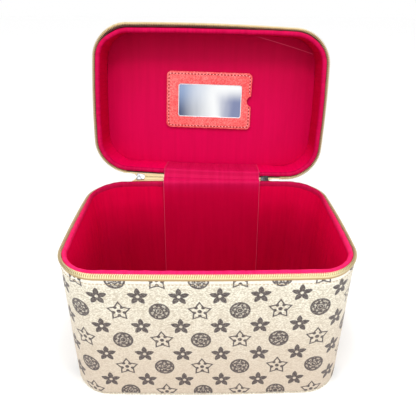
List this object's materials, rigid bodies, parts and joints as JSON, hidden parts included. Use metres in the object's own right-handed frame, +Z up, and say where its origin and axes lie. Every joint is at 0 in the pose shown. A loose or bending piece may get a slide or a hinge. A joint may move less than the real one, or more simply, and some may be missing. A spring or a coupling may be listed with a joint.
{
  "type": "makeup train case",
  "caption": "Deep rounded box case with a shallow hinged lid, zipped rims, padded satin lining, a mirror in a lid pocket and a carry handle on the lid.",
  "frame": {"origin": "centre of the base, on the floor", "axes": "+X to the right seen from the front, +Y to the back where the hinge is, +Z up"},
  "size_m": [0.2742, 0.2609, 0.321],
  "materials": {
    "leatherette": "embossed, satin",
    "fibreboard": "matt",
    "satin": "satin",
    "rim_satin": "satin",
    "zip_cloth": "woven",
    "zip_plastic": "satin",
    "pocket_leatherette": "satin",
    "bright_metal": "polished",
    "dark_metal": "satin",
    "silvered_glass": "polished"
  },
  "bodies": {
    "case_body": {"base_cover": "leatherette", "base_board": "fibreboard", "body_wall_board": "fibreboard", "body_cover": "leatherette", "body_lining": "satin", "base_lining": "satin", "body_binding": "rim_satin", "body_zip_coil": "zip_plastic", "body_zip_tape": "zip_cloth", "hinge_flap_lower": "rim_satin", "hinge_strip_lower": "leatherette"},
    "lid": {"lid_top_cover": "leatherette", "lid_top_board": "fibreboard", "lid_wall_board": "fibreboard", "lid_side_cover": "leatherette", "lid_side_lining": "satin", "lid_panel_lining": "satin", "lid_binding": "rim_satin", "lid_zip_coil": "zip_plastic", "lid_zip_tape": "zip_cloth", "hinge_flap_upper": "rim_satin", "hinge_strip_upper": "leatherette", "mirror_pocket_frame": "pocket_leatherette", "handle_tab_left": "leatherette", "handle_tab_right": "leatherette", "handle_rivet_1": "bright_metal", "handle_rivet_2": "bright_metal", "handle_rivet_3": "bright_metal", "handle_rivet_4": "bright_metal"},
    "mirror": {"mirror_plate": "silvered_glass"},
    "carry_handle": {"handle_grip": "leatherette", "handle_ring_left": "bright_metal", "handle_ring_right": "bright_metal"},
    "zip_end_left": {"zip_end_left": "zip_plastic"},
    "zip_slider_left": {"zip_slider_left": "bright_metal"},
    "zip_pull_left": {"zip_pull_left": "bright_metal"},
    "zip_end_right": {"zip_end_right": "zip_plastic"},
    "zip_slider_right": {"zip_slider_right": "dark_metal"},
    "zip_pull_right": {"zip_pull_right": "dark_metal"}
  },
  "joints": [
    {"name": "lid_hinge", "type": "hinge", "parent": "case_body", "child": "lid", "pos_m": [0, 0.09, 0.1453], "axis": [0.9995, -0.0314, 0.007], "range_deg": [0, 101]},
    {"name": "mirror_slide", "type": "slide", "parent": "lid", "child": "mirror", "axis": [0.9988, -0.0442, -0.0225], "range_m": [0, 0.08]},
    {"name": "handle_swing", "type": "hinge", "parent": "lid", "child": "carry_handle", "pos_m": [0.0048, 0.15846, 0.22363], "axis": [0.9988, -0.0442, -0.0225], "range_deg": [-7, 165]},
    {"name": "zip_fold_left", "type": "hinge", "parent": "case_body", "child": "zip_end_left", "pos_m": [-0.0785, 0.092, 0.1455], "axis": [0.9995, -0.0314, 0.007], "range_deg": [0, 50.5]},
    {"name": "zip_run_left", "type": "slide", "parent": "zip_end_left", "child": "zip_slider_left", "axis": [-0.9996, 0.0168, 0.0217], "range_m": [-0.018, 0.0125]},
    {"name": "zip_tag_left", "type": "hinge", "parent": "zip_slider_left", "child": "zip_pull_left", "pos_m": [-0.0785, 0.09083, 0.14661], "axis": [0.0268, 0.7711, 0.6361], "range_deg": [-60, 90]},
    {"name": "zip_fold_right", "type": "hinge", "parent": "case_body", "child": "zip_end_right", "pos_m": [0.0695, 0.0888, 0.1454], "axis": [0.9995, -0.0314, 0.007], "range_deg": [0, 50.5]},
    {"name": "zip_run_right", "type": "slide", "parent": "zip_end_right", "child": "zip_slider_right", "axis": [0.9996, -0.0168, -0.0217], "range_m": [0, 0.012]},
    {"name": "zip_tag_right", "type": "hinge", "parent": "zip_slider_right", "child": "zip_pull_right", "pos_m": [0.06949, 0.08974, 0.1441], "axis": [0.0268, 0.7711, 0.6361], "range_deg": [-80, 60]}
  ],
  "couplings": [
    {"joint": "zip_fold_left", "follows": "lid_hinge", "ratio": 0.5},
    {"joint": "zip_fold_right", "follows": "lid_hinge", "ratio": 0.5}
  ]
}
